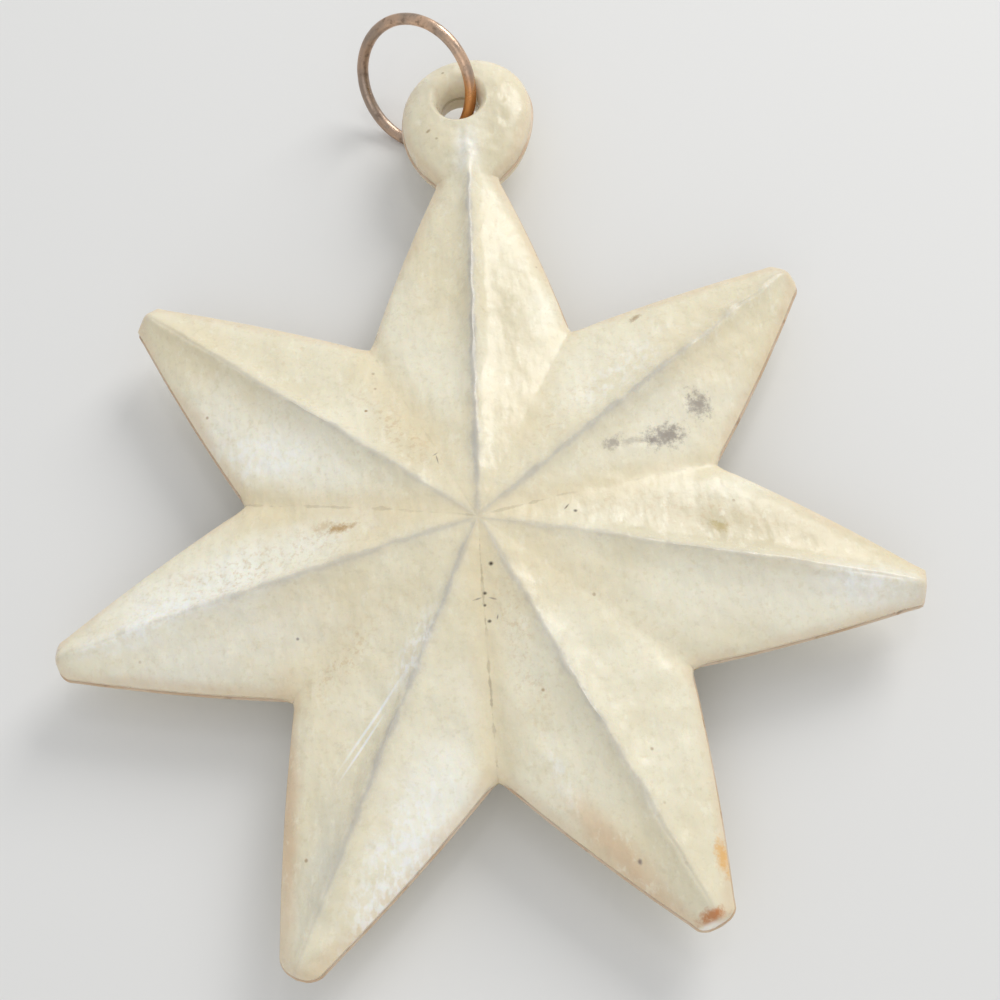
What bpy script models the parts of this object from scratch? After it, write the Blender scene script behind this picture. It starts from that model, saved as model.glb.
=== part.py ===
"""Hollow celluloid star ornament: two pressed half shells, their cemented seams and a wire hanging ring.

The star lies on its back with its pierced bead towards +Y. The origin is the small flat at the
middle of the back.
"""

import math

import bmesh
import bpy
from mathutils import Vector
from mathutils.bvhtree import BVHTree

# Star outline, seen from the front. Sizes are in metres, and angles in degrees. The bead's arm comes first
ARM_COUNT = 7
ARM_REACH = 0.0272  # centre to an even arm's tip
ARM_TRIMS = (0.0, 0.0006, -0.0001, 0.0008, -0.0003, -0.0004, -0.0005)  # gain or loss of each trimmed tip
ARM_LEANS_DEG = (-1.6, -0.7, -0.3, 0.5, 0.2, 0.4, -0.6)  # how far each arm leans from even spacing
CORNER_REACH = 0.01503  # centre to the corners between arms
TIP_RADIUS = 0.0015
TIP_BLUNTS = (2, 4, 2.4, 2.2, 2.6, 4, 2.4)  # how flat each tip is cut: 2 is round
SIDE_BULGE = 0.0002  # how far the long sides swell outwards

# Relief of each half, measured up from its rim
PEAK_RISE = 0.0035
PEAK_FLAT = 0.00055  # radius of the small flat where the ridges meet
TIP_RISE = 0.0009  # what is left of a ridge where its tip rounds over
RIM_LAND = 0.00035  # upright edge of each half at the seam
RIDGE_SWELL = 0.35
VALLEY_SWELL = 0.45
# How a flank comes down, as shares of its whole drop
RIDGE_CORD = 0.46  # close to the ridge, which stands up like a cord
CORD_WIDTH = 0.0008
RIM_ROLL = 0.3  # close to the rim, where the flank rolls over
ROLL_WIDTH = 0.0009
ROLL_START = 4  # how late the roll sets in along the arm on the way to the corner

# Bead and the eye through it, which is pierced off the bead's centre
BEAD_REACH = 0.0316  # star centre to the bead's centre
BEAD_RADIUS = 0.00452
BEAD_DROP = 0.006  # how far the bead's oval reaches from its centre towards its arm
BEAD_RISE = 0.0019
BEAD_SHOULDER = 2.6  # how square the dome's shoulder is: 2 is round
NECK_AIM = 0.0001  # half width that the arm's sides point at, at the bead's centre
NECK_CORNER = 10  # how sharp the corner is between the arm's sides and the bead
RIDGE_BLEND = 5  # how sharp the crease is between the ridge and the bead
EYE_OUTSET = 0.0005  # how far the eye is beyond the bead's centre
EYE_ASIDE = 0.00055  # how far the eye is to the left of the ridge's line
EYE_RADIUS = 0.00135
EYE_FLARE = 0.0009  # how much wider the eye's mouth is than its waist
EYE_LIP = 0.00006  # how far the flare runs out past the dome

# Walls and seams
WALL = 0.00045
SEAM_THICKNESS = 0.0002
SEAM_FLASH = 0.00012  # how far the rim seam stands out
SEAM_SEAT = 0.00036  # how far a seam reaches in under the walls
FIT_GAP = 0.00003

# Hanging ring of round wire, flopped to the left with its wire through the eye
WIRE_DIAMETER = 0.00082
RING_OPENING = 0.00394  # free way left between the bead's rim and the ring
RING_CLEARANCE = 0.00005  # least room between the wire and the bead, which stops the ring leaning further
RING_HEADING_DEG = 145.2
RING_PITCH_DEG = 12.5
RING_DROP = 0.00012  # how far below the seam the ring's middle line crosses the eye's axis
RING_SLIP = 0.00044  # how far behind the eye's axis the wire lies
BUTT_GAP = 0.0002
BUTT_ANGLE_DEG = -115.0  # where on the ring its two ends meet

# Facets
CORE_STEPS = 4
SIDE_STEPS = 4
TIP_STEPS = 3
DROP_STEPS = 9
BEAD_STEPS = 7
HALF_FACETS = 4
FACET_CROWD = 1.5  # how much closer together facets are by the ridge: 1 is even
EYE_SEGMENTS = 28
FLARE_STEPS = 6
RING_STEPS = 48

SECTOR = math.pi / ARM_COUNT
HALF_SEAM = SEAM_THICKNESS / 2 + FIT_GAP
MID_Z = PEAK_RISE + HALF_SEAM
EYE_REACH = BEAD_REACH + EYE_OUTSET
BEAD_PAST_EYE = BEAD_RADIUS - EYE_OUTSET
RING_RADIUS = (RING_SLIP + BEAD_PAST_EYE + SEAM_FLASH + RING_OPENING + WIRE_DIAMETER / 2) / 2
WELD_DISTANCE = 1e-6


class Arm:
    """One arm in its own axes: u runs out from the star's centre and v across. inset shrinks it."""

    def __init__(self, index, inset=0.0):
        self.turn = 2 * SECTOR * index
        self.lean = math.tan(math.radians(ARM_LEANS_DEG[index]))
        self.has_bead = index == 0
        self.blunt = TIP_BLUNTS[index]
        side_run = ARM_REACH - CORNER_REACH * math.cos(SECTOR)
        side_angle = math.atan2(CORNER_REACH * math.sin(SECTOR), side_run)
        corner_reach = CORNER_REACH - inset / math.sin(side_angle + SECTOR)
        self.corner_u = corner_reach * math.cos(SECTOR)
        self.corner_w = corner_reach * math.sin(SECTOR)
        if self.has_bead:
            self.end_u = BEAD_REACH
            self.end_radius = BEAD_RADIUS - inset
            self.end_drop = BEAD_DROP - inset
            self.side_drop = math.atan2(self.corner_w - NECK_AIM + inset, self.end_u - self.corner_u)
            self.side_end = self.end_u - self.end_drop
        else:
            self.end_u = ARM_REACH + ARM_TRIMS[index] - TIP_RADIUS
            self.end_radius = TIP_RADIUS - inset
            self.aim_tip()
        self.reach = self.end_u + self.end_radius

    def aim_tip(self):
        """The side runs from the corner and touches the round tip."""
        run = self.end_u - self.corner_u
        bearing = math.atan2(self.corner_w, run)
        self.side_drop = bearing - math.asin(self.end_radius / math.hypot(run, self.corner_w))
        self.side_end = self.end_u + self.end_radius * math.sin(self.side_drop)

    def half_width(self, u):
        if u <= self.corner_u:
            return u * math.tan(SECTOR)
        line = self.corner_w - (u - self.corner_u) * math.tan(self.side_drop)
        if u < self.side_end:
            along = (u - self.corner_u) / (self.side_end - self.corner_u)
            return line + 4 * SIDE_BULGE * along * (1 - along)
        if not self.has_bead:
            return min(line, self.end_radius * self.tip_round(u))
        oval = self.end_radius * math.sqrt(max(1 - self.past_bead(u) ** 2, 0.0))
        return soft_max(line, oval, NECK_CORNER) if u < self.end_u else oval

    def tip_round(self, u):
        """Share of the tip's full width or height that is left at u."""
        past = share_of(u, self.end_u, self.reach)
        return (1 - past**self.blunt) ** (1 / self.blunt)

    def past_bead(self, u):
        """How far u is from the bead's centre, as a share of the bead's reach that way."""
        return (u - self.end_u) / (self.end_drop if u < self.end_u else self.end_radius)

    def middle(self, u):
        """v of the ridge, which runs straight from the centre to the leaning tip."""
        return self.lean * u

    def centre(self, u):
        """v midway between the arm's two boundaries, which lean over past the corners."""
        return self.lean * self.reach * max(u - self.corner_u, 0.0) / (self.reach - self.corner_u)

    def edge(self, u, side):
        """v of the arm's boundary on one side: a valley as far as the corner, then the rim."""
        return self.centre(u) + side * self.half_width(u)

    def stations(self):
        """u of each row of points across the arm, from the centre to the tip or the bead's far side."""
        rows = [0.0]
        core = (self.corner_u - PEAK_FLAT) / CORE_STEPS
        rows += [PEAK_FLAT + core * step for step in range(CORE_STEPS + 1)]
        side = (self.side_end - self.corner_u) / SIDE_STEPS
        rows += [self.corner_u + side * step for step in range(1, SIDE_STEPS + 1)]
        start = self.side_drop
        steps = TIP_STEPS
        if self.has_bead:
            angles = [math.pi / 2 * step / DROP_STEPS for step in range(1, DROP_STEPS + 1)]
            rows += [self.end_u - self.end_drop * math.cos(angle) for angle in angles]
            start = 0.0
            steps = BEAD_STEPS
        turn = (math.pi / 2 - start) / steps
        angles = [start + turn * step for step in range(1, steps + 1)]
        rows += [self.end_u + self.end_radius * math.sin(angle) for angle in angles]
        return rows

    def place(self, u, v):
        """(x, y) in the star's plane: the bead's arm points to +Y and the others follow anticlockwise."""
        return (
            -u * math.sin(self.turn) - v * math.cos(self.turn),
            u * math.cos(self.turn) - v * math.sin(self.turn),
        )

    def crest(self, u):
        """Height of the ridge."""
        ridge_end = BEAD_REACH if self.has_bead else self.reach
        along = share_of(u, PEAK_FLAT, ridge_end)
        rise = (PEAK_RISE - RIM_LAND) * (1 - along) * (1 + RIDGE_SWELL * along) + TIP_RISE * along
        return RIM_LAND + (rise if self.has_bead else rise * self.tip_round(u))

    def foot(self, u):
        """Height of the valley, which comes down to the rim at the corner."""
        along = share_of(u, PEAK_FLAT, self.corner_u)
        return RIM_LAND + (PEAK_RISE - RIM_LAND) * (1 - along) * (1 + VALLEY_SWELL * along)

    def height(self, u, v):
        """Height of the outer surface above the half's rim."""
        off = v - self.middle(u)
        reach = abs(self.edge(u, math.copysign(1, off)) - self.middle(u))
        share = min(abs(off) / reach, 1.0) if reach > WELD_DISTANCE else 1.0
        roll = RIM_ROLL * share_of(u, 0.0, self.corner_u) ** ROLL_START
        foot = self.foot(u)
        rise = foot + (self.crest(u) - foot) * flank(share, reach, roll)
        if not self.has_bead:
            return rise
        spread = math.hypot(self.past_bead(u), (v - self.centre(u)) / self.end_radius)
        dome = math.sqrt(max(1 - spread**BEAD_SHOULDER, 0.0))
        return RIM_LAND + soft_max(rise - RIM_LAND, (BEAD_RISE - RIM_LAND) * dome, RIDGE_BLEND)


def share_of(u, start, end):
    return min(max((u - start) / (end - start), 0.0), 1.0)


def settled(distance, width):
    return 1 - math.exp(-distance / width)


def flank(share, reach, roll):
    """1 on a ridge and 0 at its foot: steep by the ridge, then even, then rolled over to the rim."""
    cord = RIDGE_CORD * settled(share * reach, CORD_WIDTH)
    rolled = roll * (settled(reach, ROLL_WIDTH) - settled((1 - share) * reach, ROLL_WIDTH))
    even = 1 - RIDGE_CORD * settled(reach, CORD_WIDTH) - roll * settled(reach, ROLL_WIDTH)
    return 1 - cord - rolled - even * share


def soft_max(first, second, sharpness):
    return (max(first, 0.0) ** sharpness + max(second, 0.0) ** sharpness) ** (1 / sharpness)


def funnel(depth):
    """(radius, height above the half's rim) up the eye's flared wall, or up a line depth inside it."""
    mouth = EYE_RADIUS + EYE_FLARE
    rise = BEAD_RISE + EYE_LIP
    last = math.radians(90 if depth == 0 else 60)
    angles = [last * step / FLARE_STEPS for step in range(FLARE_STEPS + 1)]
    return [(mouth - (EYE_FLARE - depth) * math.cos(a), (rise - depth) * math.sin(a)) for a in angles]


BEAD_ARM = Arm(0)
EYE_AXIS = Vector((*BEAD_ARM.place(EYE_REACH, BEAD_ARM.middle(EYE_REACH) + EYE_ASIDE), 0.0))


def weld(bm):
    bmesh.ops.remove_doubles(bm, verts=bm.verts, dist=WELD_DISTANCE)


def finish_object(name, bm, material=None):
    """The bmesh as an object whose zero height is the middle of the seam."""
    bmesh.ops.recalc_face_normals(bm, faces=bm.faces)
    mesh = bpy.data.meshes.new(name)
    bm.to_mesh(mesh)
    bm.free()
    mesh.shade_smooth()
    mesh.set_sharp_from_angle(angle=math.radians(30))
    obj = bpy.data.objects.new(name, mesh)
    obj.location.z = MID_Z
    bpy.context.collection.objects.link(obj)
    if material:
        mesh.materials.append(material)
    else:
        obj.hide_render = True
        obj.display_type = "WIRE"
    return obj


def add_sheet(bm, facing, depth):
    """One side of the star as a sheet of quads, depth metres inside its outer surface."""
    for index in range(ARM_COUNT):
        skin = Arm(index)
        arm = Arm(index, depth)
        rows = []
        for u in arm.stations():
            middle = arm.middle(u)
            row = []
            for facet in range(-HALF_FACETS, HALF_FACETS + 1):
                edge = arm.edge(u, math.copysign(1, facet))
                v = middle + (edge - middle) * (abs(facet) / HALF_FACETS) ** FACET_CROWD
                lift = max(HALF_SEAM + skin.height(u, v) - depth, HALF_SEAM / 2)
                row.append(bm.verts.new((*arm.place(u, v), facing * lift)))
            rows.append(row)
        for inner, outer in zip(rows, rows[1:]):
            for j in range(2 * HALF_FACETS):
                bm.faces.new((inner[j], inner[j + 1], outer[j + 1], outer[j]))
    weld(bm)


def boundary(bm):
    return [edge for edge in bm.edges if edge.is_boundary]


def half_star(name, facing, material):
    """The full outer form of one half, closed by a flat face at the seam."""
    bm = bmesh.new()
    add_sheet(bm, facing, 0.0)
    skirt = bmesh.ops.extrude_edge_only(bm, edges=boundary(bm))["geom"]
    for item in skirt:
        if isinstance(item, bmesh.types.BMVert):
            item.co.z = facing * HALF_SEAM
    bmesh.ops.edgeloop_fill(bm, edges=boundary(bm))
    return finish_object(name, bm, material)


def star_cavity():
    """The hollow of both halves together."""
    bm = bmesh.new()
    add_sheet(bm, 1, WALL)
    add_sheet(bm, -1, WALL)
    bmesh.ops.bridge_loops(bm, edges=boundary(bm))
    return finish_object("star_cavity", bm)


def turned(name, profile, material=None):
    """A profile of (radius, height) points turned round the eye's axis."""
    bm = bmesh.new()
    points = [bm.verts.new(EYE_AXIS + Vector((radius, 0, height))) for radius, height in profile]
    lines = [bm.edges.new(pair) for pair in zip(points, points[1:])]
    bmesh.ops.spin(
        bm,
        geom=points + lines,
        cent=EYE_AXIS,
        axis=(0, 0, 1),
        angle=2 * math.pi,
        steps=EYE_SEGMENTS,
        use_merge=True,
    )
    weld(bm)
    return finish_object(name, bm, material)


def both_ways(rising, over):
    """A profile from below to above the seam, ending on the axis over metres past its last points."""
    top = rising[-1]
    upper = [*rising, (top[0], top[1] + over), (0.0, top[1] + over)]
    upper = [(radius, height + HALF_SEAM) for radius, height in upper]
    return [(radius, -height) for radius, height in reversed(upper)] + upper


def outline(inset):
    """(x, y) points round the whole star, anticlockwise."""
    loop = []
    for index in range(ARM_COUNT):
        arm = Arm(index, inset)
        rows = [u for u in arm.stations() if u >= arm.corner_u - WELD_DISTANCE]
        loop += [arm.place(u, arm.edge(u, -1)) for u in rows[:-1]]
        loop += [arm.place(u, arm.edge(u, 1)) for u in reversed(rows[1:])]
    return loop


def rim_seam(material):
    """The line of cement between the halves, standing a little proud all round."""
    bm = bmesh.new()
    half = SEAM_THICKNESS / 2
    rings = [(-SEAM_FLASH, -half), (-SEAM_FLASH, half), (SEAM_SEAT, half), (SEAM_SEAT, -half)]
    loops = [[bm.verts.new((x, y, z)) for x, y in outline(inset)] for inset, z in rings]
    count = len(loops[0])
    for near, far in zip(loops, loops[1:] + loops[:1]):
        for i in range(count):
            following = (i + 1) % count
            bm.faces.new((near[i], near[following], far[following], far[i]))
    return finish_object("rim_seam", bm, material)


def eye_seam(material):
    """The ring of cement between the two funnels of the eye."""
    half = SEAM_THICKNESS / 2
    outer = EYE_RADIUS + SEAM_SEAT
    profile = [(EYE_RADIUS, -half), (outer, -half), (outer, half), (EYE_RADIUS, half), (EYE_RADIUS, -half)]
    return turned("eye_seam", profile, material)


def cut(obj, operation, tool):
    modifier = obj.modifiers.new(f"{operation.lower()} {tool.name}", "BOOLEAN")
    modifier.operation = operation
    modifier.object = tool
    modifier.solver = "EXACT"


def ring_axes(lean):
    """Unit vectors from the wire in the eye to the ring's centre, and up the ring, square to that."""
    heading = math.radians(RING_HEADING_DEG)
    pitch = math.radians(RING_PITCH_DEG)
    ahead = Vector((math.cos(heading), math.sin(heading), 0))
    side = Vector((math.sin(heading), -math.cos(heading), 0))
    up = Vector((0, 0, math.cos(lean))) + side * math.sin(lean)
    return ahead * math.cos(pitch) + up * math.sin(pitch), up * math.cos(pitch) - ahead * math.sin(pitch)


def wire_points(lean):
    """Points along the middle of the ring's wire, measured from the eye's axis at the seam."""
    to_centre, up = ring_axes(lean)
    start = Vector((0, 0, -RING_DROP)) - to_centre * RING_SLIP
    points = []
    for step in range(2 * RING_STEPS):
        angle = math.pi * step / RING_STEPS
        points.append(start + (to_centre * (1 + math.cos(angle)) + up * math.sin(angle)) * RING_RADIUS)
    return points


def ring_room(lean, trees):
    """Least distance from the middle of the wire to the surfaces of the star."""
    points = [EYE_AXIS + point for point in wire_points(lean)]
    return min(tree.find_nearest(point)[3] for tree in trees for point in points)


def ring_lean(pieces):
    """How far the ring flops over, in radians, before its wire is the named clearance from the star."""
    depsgraph = bpy.context.evaluated_depsgraph_get()
    trees = [BVHTree.FromObject(piece, depsgraph) for piece in pieces]
    needed = WIRE_DIAMETER / 2 + RING_CLEARANCE
    upright = 0.0
    touching = math.radians(60)
    for _ in range(16):
        lean = (upright + touching) / 2
        if ring_room(lean, trees) < needed:
            touching = lean
        else:
            upright = lean
    return upright


def hang_ring(material, star):
    """An open ring of round wire. Its origin is on the eye's axis, about which it swings."""
    curve = bpy.data.curves.new("hang_ring", "CURVE")
    curve.dimensions = "3D"
    curve.bevel_depth = WIRE_DIAMETER / 2
    curve.bevel_resolution = 2
    curve.use_fill_caps = True
    curve.materials.append(material)
    gap = BUTT_GAP / RING_RADIUS
    start = math.radians(BUTT_ANGLE_DEG) + gap / 2
    turn = (2 * math.pi - gap) / RING_STEPS
    wire = curve.splines.new("POLY")
    wire.points.add(RING_STEPS)
    for step, point in enumerate(wire.points):
        angle = start + turn * step
        ahead = RING_RADIUS * (1 + math.cos(angle)) - RING_SLIP
        point.co = (ahead, 0, RING_RADIUS * math.sin(angle), 1)
    ring = bpy.data.objects.new("hang_ring", curve)
    ring.location = EYE_AXIS + Vector((0, 0, MID_Z - RING_DROP))
    ring.rotation_mode = "YXZ"
    ring.rotation_euler = (ring_lean(star), -math.radians(RING_PITCH_DEG), math.radians(RING_HEADING_DEG))
    bpy.context.collection.objects.link(ring)
    return ring


def make_material(name, color, roughness, metallic=0.0):
    material = bpy.data.materials.new(name)
    material.use_nodes = True
    shader = material.node_tree.nodes["Principled BSDF"]
    shader.inputs["Base Color"].default_value = (*color, 1.0)
    shader.inputs["Roughness"].default_value = roughness
    shader.inputs["Metallic"].default_value = metallic
    return material


def build():
    for obj in list(bpy.data.objects):
        bpy.data.objects.remove(obj)
    front = half_star("front_shell", 1, make_material("ivory_front", (0.78, 0.72, 0.6), 0.35))
    back = half_star("back_shell", -1, make_material("ivory_back", (0.75, 0.69, 0.57), 0.4))
    cavity = star_cavity()
    liner = turned("eye_liner", both_ways(funnel(WALL), WALL * 4))
    bore = turned("eye_bore", both_ways(funnel(0.0), WALL * 2))
    cut(cavity, "DIFFERENCE", liner)
    for shell in (front, back):
        cut(shell, "DIFFERENCE", cavity)
        cut(shell, "DIFFERENCE", bore)
    seam = rim_seam(make_material("rim_cement", (0.66, 0.55, 0.38), 0.45))
    eye_seam(make_material("eye_cement", (0.62, 0.5, 0.34), 0.5))
    hang_ring(make_material("tarnished_copper", (0.45, 0.27, 0.17), 0.4, 1.0), (front, back, seam))


build()
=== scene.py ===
import math
import bmesh
import bpy
from mathutils import Euler, Matrix, Vector


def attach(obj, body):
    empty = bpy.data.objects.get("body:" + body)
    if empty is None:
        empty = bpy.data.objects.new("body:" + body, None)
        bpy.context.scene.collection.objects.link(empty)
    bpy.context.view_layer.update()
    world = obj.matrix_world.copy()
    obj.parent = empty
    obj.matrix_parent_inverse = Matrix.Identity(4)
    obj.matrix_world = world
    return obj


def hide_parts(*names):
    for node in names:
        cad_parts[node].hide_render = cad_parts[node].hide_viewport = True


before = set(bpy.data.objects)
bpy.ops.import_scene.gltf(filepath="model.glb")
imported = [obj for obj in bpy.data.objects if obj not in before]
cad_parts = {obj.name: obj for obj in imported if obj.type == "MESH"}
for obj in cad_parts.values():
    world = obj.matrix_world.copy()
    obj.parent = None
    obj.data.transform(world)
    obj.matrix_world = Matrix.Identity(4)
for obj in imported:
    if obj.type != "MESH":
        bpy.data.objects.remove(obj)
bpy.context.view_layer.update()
print("frame loaded:", ", ".join(sorted(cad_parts)))


# small helpers for node trees
def addNode(tree, kind, inputs=(), **settings):
    node = tree.nodes.new(kind)
    for name, value in settings.items():
        setattr(node, name, value)
    for key, value in dict(inputs).items():
        if isinstance(value, bpy.types.NodeSocket):
            tree.links.new(value, node.inputs[key])
        else:
            node.inputs[key].default_value = value
    return node


def calc(tree, operation, *terms):
    return addNode(tree, "ShaderNodeMath", enumerate(terms), operation=operation).outputs[0]


def vectorMath(tree, operation, first, second):
    slot = 3 if operation == "SCALE" else 1
    return addNode(tree, "ShaderNodeVectorMath", {0: first, slot: second}, operation=operation).outputs[0]


def vectorLength(tree, vector):
    return addNode(tree, "ShaderNodeVectorMath", {0: vector}, operation="LENGTH").outputs["Value"]


def joinedVector(tree, x, y, z=0.0):
    return addNode(tree, "ShaderNodeCombineXYZ", {0: x, 1: y, 2: z}).outputs[0]


def ranged(tree, value, low, high, start=0.0, end=1.0, kind="SMOOTHSTEP"):
    values = {0: value, 1: low, 2: high, 3: start, 4: end}
    return addNode(tree, "ShaderNodeMapRange", values, interpolation_type=kind).outputs[0]


def readAttribute(tree, name):
    return addNode(tree, "GeometryNodeInputNamedAttribute", {"Name": name}, data_type="FLOAT").outputs[0]


def newTree(name, inputs):
    tree = bpy.data.node_groups.new(name, "GeometryNodeTree")
    tree.interface.new_socket("Geometry", in_out="OUTPUT", socket_type="NodeSocketGeometry")
    tree.interface.new_socket("Geometry", in_out="INPUT", socket_type="NodeSocketGeometry")
    for label, kind in inputs:
        tree.interface.new_socket(label, in_out="INPUT", socket_type="NodeSocket" + kind)
    return tree, tree.nodes.new("NodeGroupInput").outputs


def closeTree(tree, geometry, material):
    real = addNode(tree, "GeometryNodeRealizeInstances", {"Geometry": geometry})
    painted = addNode(tree, "GeometryNodeSetMaterial", {"Geometry": real.outputs[0], "Material": material})
    addNode(tree, "NodeGroupOutput", {"Geometry": painted.outputs[0]})


def runTree(obj, tree, values):
    modifier = obj.modifiers.new(tree.name, "NODES")
    modifier.node_group = tree
    for socket in tree.interface.items_tree:
        if socket.in_out == "INPUT" and socket.name in values:
            modifier[socket.identifier] = values[socket.name]
    settle(obj)


def settle(obj):  # live modifiers become a plain mesh
    bpy.context.view_layer.update()
    evaluated = obj.evaluated_get(bpy.context.evaluated_depsgraph_get())
    mesh = bpy.data.meshes.new_from_object(evaluated)
    obj.modifiers.clear()
    old = obj.data
    obj.data = mesh
    bpy.data.meshes.remove(old)


def meshObject(name, bm):
    mesh = bpy.data.meshes.new(name)
    bm.to_mesh(mesh)
    bm.free()
    obj = bpy.data.objects.new(name, mesh)
    bpy.context.collection.objects.link(obj)
    return obj


def shareOf(value, start, end):
    return min(max((value - start) / (end - start), 0.0), 1.0)


def eased(value, start, end):
    share = shareOf(value, start, end)
    return share * share * (3 - 2 * share)


def softMax(first, second, sharpness):
    return (max(first, 0.0) ** sharpness + max(second, 0.0) ** sharpness) ** (1 / sharpness)


# the star's outline and relief, sizes in metres, the bead's arm first and the rest anticlockwise
star = {
    "arms": 7,
    "armReach": 0.0272,
    "trims": (0.0, 0.0006, -0.0001, 0.0008, -0.0003, -0.0004, -0.0005),
    "leansDeg": (-1.6, -0.7, -0.3, 0.5, 0.2, 0.4, -0.6),
    "cornerReach": 0.01503,
    "tipRadius": 0.0015,
    "tipBlunts": (2, 4, 2.4, 2.2, 2.6, 4, 2.4),  # 2 is round, more is cut flat
    "sideBulge": 0.0002,
    "peakRise": 0.0035,
    "peakFlat": 0.00055,
    "tipRise": 0.0009,
    "rimLand": 0.00035,
    "ridgeSwell": 0.35,
    "valleySwell": 0.45,
    "cord": 0.38,  # share of a ridge's height that stands up close to it
    "cordWidth": 0.0005,
    "edgeRoll": 0.33,  # share of it that rolls over close to the rim
    "edgeWidth": 0.0009,
    "edgeRollPower": 4,  # how late the roll sets in between the centre and the corner
    "ridgeRound": (0.00025, 0.0004),  # rounding of a ridge at the centre and at its tip
    "wall": 0.00045,
    "sharpDeg": 38,
    "calmEdge": (0.0002, 0.0025),  # distances from the rim between which dents and ripples grow
    "valleyDirt": (0.5, 0.75, 0.3, 1.0, 0.35, 0.75, 0.4),  # after each arm, anticlockwise
    # per arm, how grey its crest is: wear with painted shade
    "crestWearAndShade": (0.75, 0.5, 0.5, 0.68, 0.54, 0.4, 0.6),
    "ridgeLumps": (1.6, 0.0008),  # how much more a ridge ripples, and how far from it
    "coreRows": 26,
    "sideRows": 26,
    "tipRows": 9,
    "halfFacets": 20,
    "facetCrowding": 0.55,  # how much closer facets are at ridge and rim
    "rimSteps": (0.6, 0.25, 0.0),  # shares of the upright edge
}
bead = {
    "reach": 0.0316,
    "radius": 0.00452,
    "drop": 0.006,
    "rise": 0.0019,
    "shoulder": 2.6,
    "neckAim": 0.0001,
    "neckCorner": 10,
    "ridgeBlend": 5,
    "ridgeFade": (0.0272, 0.0306),
    "lumps": (4, 0.0012),  # how much more the dome ripples, and from what rise in full
    "neckRow": 0.0272,  # where the arm's rows end and the bead's rays begin
    "dropRows": 18,
    "topRows": 16,
    "rayRows": 22,
    "rayCrowding": 0.5,
}
eye = {
    "outset": 0.0005,
    "aside": 0.00055,
    "radius": 0.00135,
    "flare": 0.0009,
    "lip": 0.00006,
    "lipRound": 0.00007,
    "lipRoll": 0.00045,  # extra rounding at the top, where the lip is worn
    "wornWay": (0.95, 0.31),
    "rollDepth": (1.6, 0.0007),  # depth of the rounding per radius, and at most
    "lipRows": 5,
    "throatRows": 9,
    "searchSteps": 30,
    "calm": (0.0017, 0.0027),  # distances from its axis between which dents and ripples grow
    "clear": 0.0025,  # edges nearer than this belong to the eye
}
seam = {
    "thickness": 0.0002,
    "gap": 0.00003,
    "flash": 0.00012,
    "seat": 0.00036,
    "step": 0.00018,
    "waver": 0.00003,
    "waverScale": 700.0,
    "sides": 10,
    "armSteps": 90,
    "beadSteps": 24,
    "closest": 0.00004,
}
weld = 1e-6
sector = math.pi / star["arms"]
halfSeam = seam["thickness"] / 2 + seam["gap"]
midHeight = star["peakRise"] + halfSeam


def makeArm(index, inset=0.0):
    sideRun = star["armReach"] - star["cornerReach"] * math.cos(sector)
    sideAngle = math.atan2(star["cornerReach"] * math.sin(sector), sideRun)
    cornerReach = star["cornerReach"] - inset / math.sin(sideAngle + sector)
    arm = {
        "index": index,
        "turn": 2 * sector * index,
        "lean": math.tan(math.radians(star["leansDeg"][index])),
        "blunt": star["tipBlunts"][index],
        "cornerU": cornerReach * math.cos(sector),
        "cornerW": cornerReach * math.sin(sector),
    }
    if index == 0:
        arm["endU"] = bead["reach"]
        arm["endRadius"] = bead["radius"] - inset
        arm["endDrop"] = bead["drop"] - inset
        run = arm["endU"] - arm["cornerU"]
        arm["sideDrop"] = math.atan2(arm["cornerW"] - bead["neckAim"] + inset, run)
        arm["sideEnd"] = arm["endU"] - arm["endDrop"]
    else:
        arm["endU"] = star["armReach"] + star["trims"][index] - star["tipRadius"]
        arm["endRadius"] = star["tipRadius"] - inset
        run = arm["endU"] - arm["cornerU"]
        bearing = math.atan2(arm["cornerW"], run)
        arm["sideDrop"] = bearing - math.asin(arm["endRadius"] / math.hypot(run, arm["cornerW"]))
        arm["sideEnd"] = arm["endU"] + arm["endRadius"] * math.sin(arm["sideDrop"])
    arm["reach"] = arm["endU"] + arm["endRadius"]
    return arm


def tipRound(arm, u):
    past = shareOf(u, arm["endU"], arm["reach"])
    return (1 - past ** arm["blunt"]) ** (1 / arm["blunt"])


def pastBead(arm, u):
    return (u - arm["endU"]) / (arm["endDrop"] if u < arm["endU"] else arm["endRadius"])


def halfWidth(arm, u):
    if u <= arm["cornerU"]:
        return u * math.tan(sector)
    line = arm["cornerW"] - (u - arm["cornerU"]) * math.tan(arm["sideDrop"])
    if u < arm["sideEnd"]:
        along = (u - arm["cornerU"]) / (arm["sideEnd"] - arm["cornerU"])
        return line + 4 * star["sideBulge"] * along * (1 - along)
    if arm["index"]:
        return min(line, arm["endRadius"] * tipRound(arm, u))
    oval = arm["endRadius"] * math.sqrt(max(1 - pastBead(arm, u) ** 2, 0.0))
    return softMax(line, oval, bead["neckCorner"]) if u < arm["endU"] else oval


def centreLine(arm, u):
    return arm["lean"] * arm["reach"] * max(u - arm["cornerU"], 0.0) / (arm["reach"] - arm["cornerU"])


def ridgeLine(arm, u):
    return arm["lean"] * u


def edgeLine(arm, u, side):
    return centreLine(arm, u) + side * halfWidth(arm, u)


def placed(arm, u, v):
    turn = arm["turn"]
    return Vector((-u * math.sin(turn) - v * math.cos(turn), u * math.cos(turn) - v * math.sin(turn), 0))


def ridgeLeft(arm, u):  # the top arm's ridge dies away in the bead
    return 1.0 if arm["index"] else 1 - eased(u, *bead["ridgeFade"])


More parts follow.
